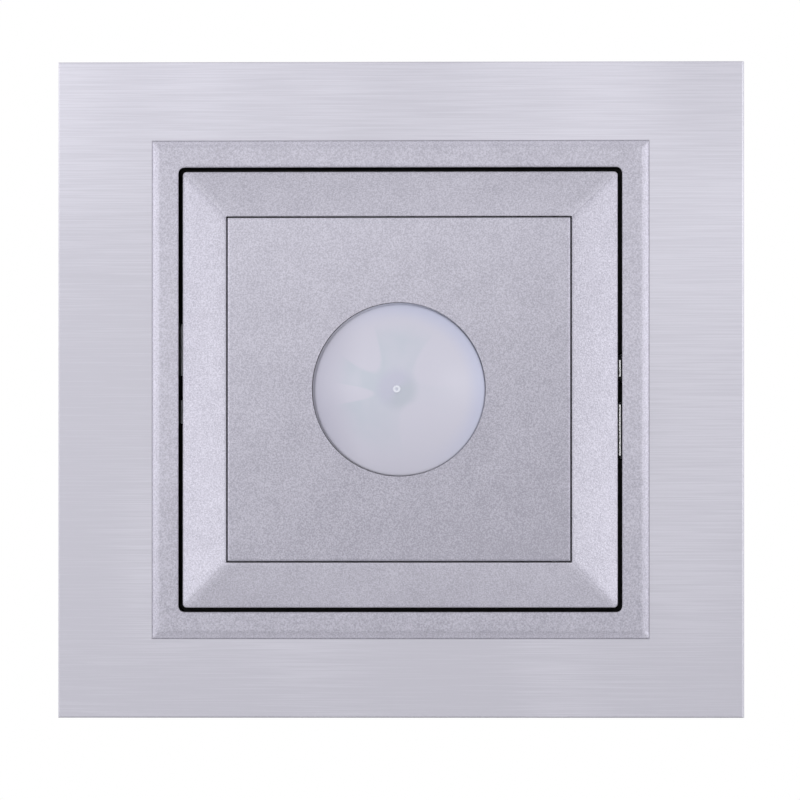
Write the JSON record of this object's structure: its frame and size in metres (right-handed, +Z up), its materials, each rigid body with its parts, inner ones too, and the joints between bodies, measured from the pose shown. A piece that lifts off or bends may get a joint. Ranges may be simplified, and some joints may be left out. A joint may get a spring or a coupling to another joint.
{
  "type": "motion sensor light switch",
  "caption": "Flush wall switch with a domed motion sensor lens in a square silver face, bevelled cover, brushed metal plate, boxed rear with screw terminals and spreading claws.",
  "frame": {"origin": "the middle of the device on the wall plane, halfway between the two box screw slots", "axes": "+X to the right seen from the room, +Y into the wall box, +Z up. The front faces -Y"},
  "size_m": [0.09, 0.0395, 0.086],
  "materials": {
    "brushed_plate": "brushed sideways, satin",
    "silver_plastic": "metallic silver, fine sand texture",
    "milky_lens": "milky, faintly glossy",
    "white_plastic": "moulded white",
    "black_plastic": "moulded black",
    "sensor_can": "bright plated can",
    "dark_window": "dark filter",
    "cell_resin": "clear coated cell",
    "red_resin": "tinted clear",
    "green_board": "solder mask",
    "blue_plastic": "moulded blue",
    "plated_screw": "zinc plated",
    "zinc_steel": "zinc plated sheet",
    "grey_plastic": "moulded grey",
    "yellow_plastic": "moulded yellow",
    "sleeved_can": "shrink sleeve",
    "blue_resin": "dipped resin",
    "grey_resin": "cement coat",
    "contact_brass": "bare brass",
    "dial_plastic": "moulded orange"
  },
  "bodies": {
    "device": {"metal_faceplate": "brushed_plate", "frame_carrier": "silver_plastic", "cover_bezel": "silver_plastic", "sensor_face": "silver_plastic", "fresnel_lens": "milky_lens", "lens_retainer": "white_plastic", "sensor_shroud": "black_plastic", "pyro_sensor": "sensor_can", "pyro_window": "dark_window", "photocell": "cell_resin", "indicator_led": "red_resin", "sensor_board": "green_board", "controller_chip": "black_plastic", "trimmer_bodies": "blue_plastic", "inner_cover": "white_plastic", "case_screws": "plated_screw", "support_frame": "zinc_steel", "rear_housing": "grey_plastic", "power_board": "green_board", "board_connector": "black_plastic", "relay": "black_plastic", "film_capacitor": "yellow_plastic", "electrolytic_capacitor": "sleeved_can", "filter_capacitor": "sleeved_can", "varistor": "blue_resin", "fuse_resistor": "grey_resin", "rectifier_diodes": "black_plastic", "terminal_body": "grey_plastic", "contact_bars": "contact_brass", "claw_pins": "zinc_steel"},
    "time_dial": {"time_dial": "dial_plastic"},
    "lux_dial": {"lux_dial": "dial_plastic"},
    "range_dial": {"range_dial": "dial_plastic"},
    "claw_left": {"claw_left": "zinc_steel"},
    "claw_screw_left": {"claw_screw_left": "plated_screw"},
    "claw_nut_left": {"claw_nut_left": "zinc_steel"},
    "claw_right": {"claw_right": "zinc_steel"},
    "claw_screw_right": {"claw_screw_right": "plated_screw"},
    "claw_nut_right": {"claw_nut_right": "zinc_steel"},
    "terminal_screw_1": {"terminal_screw_1": "plated_screw"},
    "terminal_cage_1": {"terminal_cage_1": "zinc_steel"},
    "terminal_screw_2": {"terminal_screw_2": "plated_screw"},
    "terminal_cage_2": {"terminal_cage_2": "zinc_steel"},
    "terminal_screw_3": {"terminal_screw_3": "plated_screw"},
    "terminal_cage_3": {"terminal_cage_3": "zinc_steel"},
    "terminal_screw_4": {"terminal_screw_4": "plated_screw"},
    "terminal_cage_4": {"terminal_cage_4": "zinc_steel"}
  },
  "joints": [
    {"name": "time_dial_turn", "type": "hinge", "parent": "device", "child": "time_dial", "pos_m": [-0.009, -0.008, -0.016], "axis": [0, 1, 0], "range_deg": [-135, 135]},
    {"name": "lux_dial_turn", "type": "hinge", "parent": "device", "child": "lux_dial", "pos_m": [0, -0.008, -0.016], "axis": [0, 1, 0], "range_deg": [-135, 135]},
    {"name": "range_dial_turn", "type": "hinge", "parent": "device", "child": "range_dial", "pos_m": [0.009, -0.008, -0.016], "axis": [0, 1, 0], "range_deg": [-135, 135]},
    {"name": "claw_screw_left_turn", "type": "hinge", "parent": "device", "child": "claw_screw_left", "pos_m": [-0.0242, -0.001, 0], "axis": [0, 1, 0], "range_deg": [0, 4320]},
    {"name": "claw_nut_left_travel", "type": "slide", "parent": "device", "child": "claw_nut_left", "axis": [0, -1, 0], "range_m": [0, 0.006]},
    {"name": "claw_left_swing", "type": "hinge", "parent": "device", "child": "claw_left", "pos_m": [-0.0264, 0.0026, 0], "axis": [0, 0, 1], "range_deg": [0, 16.6]},
    {"name": "claw_screw_right_turn", "type": "hinge", "parent": "device", "child": "claw_screw_right", "pos_m": [0.0242, -0.001, 0], "axis": [0, 1, 0], "range_deg": [0, 4320]},
    {"name": "claw_nut_right_travel", "type": "slide", "parent": "device", "child": "claw_nut_right", "axis": [0, -1, 0], "range_m": [0, 0.006]},
    {"name": "claw_right_swing", "type": "hinge", "parent": "device", "child": "claw_right", "pos_m": [0.0264, 0.0026, 0], "axis": [0, 0, -1], "range_deg": [0, 16.6]},
    {"name": "terminal_screw_1_turn", "type": "hinge", "parent": "device", "child": "terminal_screw_1", "pos_m": [-0.0105, 0.0166, -0.0148], "axis": [0, -1, 0], "range_deg": [0, 2016]},
    {"name": "terminal_cage_1_travel", "type": "slide", "parent": "device", "child": "terminal_cage_1", "axis": [0, 1, 0], "range_m": [0, 0.0028]},
    {"name": "terminal_screw_2_turn", "type": "hinge", "parent": "device", "child": "terminal_screw_2", "pos_m": [-0.0035, 0.0166, -0.0148], "axis": [0, -1, 0], "range_deg": [0, 2016]},
    {"name": "terminal_cage_2_travel", "type": "slide", "parent": "device", "child": "terminal_cage_2", "axis": [0, 1, 0], "range_m": [0, 0.0028]},
    {"name": "terminal_screw_3_turn", "type": "hinge", "parent": "device", "child": "terminal_screw_3", "pos_m": [0.0035, 0.0166, -0.0148], "axis": [0, -1, 0], "range_deg": [0, 2016]},
    {"name": "terminal_cage_3_travel", "type": "slide", "parent": "device", "child": "terminal_cage_3", "axis": [0, 1, 0], "range_m": [0, 0.0028]},
    {"name": "terminal_screw_4_turn", "type": "hinge", "parent": "device", "child": "terminal_screw_4", "pos_m": [0.0105, 0.0166, -0.0148], "axis": [0, -1, 0], "range_deg": [0, 2016]},
    {"name": "terminal_cage_4_travel", "type": "slide", "parent": "device", "child": "terminal_cage_4", "axis": [0, 1, 0], "range_m": [0, 0.0028]}
  ],
  "couplings": [
    {"joint": "claw_screw_left_turn", "follows": "claw_nut_left_travel", "rad_per_m": 12566},
    {"joint": "claw_left_swing", "follows": "claw_nut_left_travel", "rad_per_m": 48.287},
    {"joint": "claw_screw_right_turn", "follows": "claw_nut_right_travel", "rad_per_m": 12566},
    {"joint": "claw_right_swing", "follows": "claw_nut_right_travel", "rad_per_m": 48.287},
    {"joint": "terminal_screw_1_turn", "follows": "terminal_cage_1_travel", "rad_per_m": 12566},
    {"joint": "terminal_screw_2_turn", "follows": "terminal_cage_2_travel", "rad_per_m": 12566},
    {"joint": "terminal_screw_3_turn", "follows": "terminal_cage_3_travel", "rad_per_m": 12566},
    {"joint": "terminal_screw_4_turn", "follows": "terminal_cage_4_travel", "rad_per_m": 12566}
  ]
}
